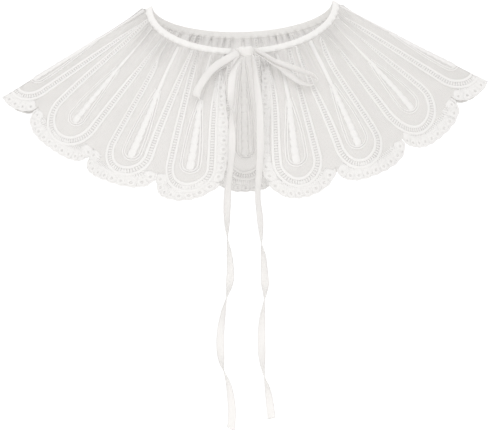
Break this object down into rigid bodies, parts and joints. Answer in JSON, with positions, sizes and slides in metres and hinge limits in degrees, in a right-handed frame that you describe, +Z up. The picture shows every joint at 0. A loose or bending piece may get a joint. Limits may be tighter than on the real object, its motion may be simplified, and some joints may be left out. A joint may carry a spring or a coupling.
{
  "type": "detachable lace collar",
  "caption": "Wide cape-like lace collar with scalloped petals, raised openwork borders, a narrow bound neckline and a ribbon bow with long hanging tails.",
  "frame": {"origin": "centre of the neck opening, level with its two side corners", "axes": "+Z up as worn, the bow and the open front face -Y, +X is the viewer's right"},
  "size_m": [0.4304, 0.1794, 0.3665],
  "materials": {
    "net": "sheer matt net",
    "thread": "matt cotton embroidery",
    "binding": "matt folded binding",
    "ribbon": "satin"
  },
  "bodies": {
    "root": {"lace_ground": "net", "petal_border_01": "thread", "petal_border_02": "thread", "petal_border_03": "thread", "petal_border_04": "thread", "petal_border_05": "thread", "petal_border_06": "thread", "petal_border_07": "thread", "petal_border_08": "thread", "petal_border_09": "thread", "petal_border_10": "thread", "petal_border_11": "thread", "petal_border_12": "thread", "petal_border_13": "thread", "petal_border_14": "thread", "petal_border_15": "thread", "petal_loop_01": "thread", "petal_loop_02": "thread", "petal_loop_03": "thread", "petal_loop_04": "thread", "petal_loop_05": "thread", "petal_loop_06": "thread", "petal_loop_07": "thread", "petal_loop_08": "thread", "petal_loop_09": "thread", "petal_loop_10": "thread", "petal_loop_11": "thread", "petal_loop_12": "thread", "petal_loop_13": "thread", "petal_loop_14": "thread", "petal_loop_15": "thread", "neck_binding": "binding", "bow_knot": "ribbon", "bow_loop_left": "ribbon", "bow_loop_right": "ribbon", "tie_tail_left": "ribbon", "tie_tail_right": "ribbon"}
  },
  "joints": []
}
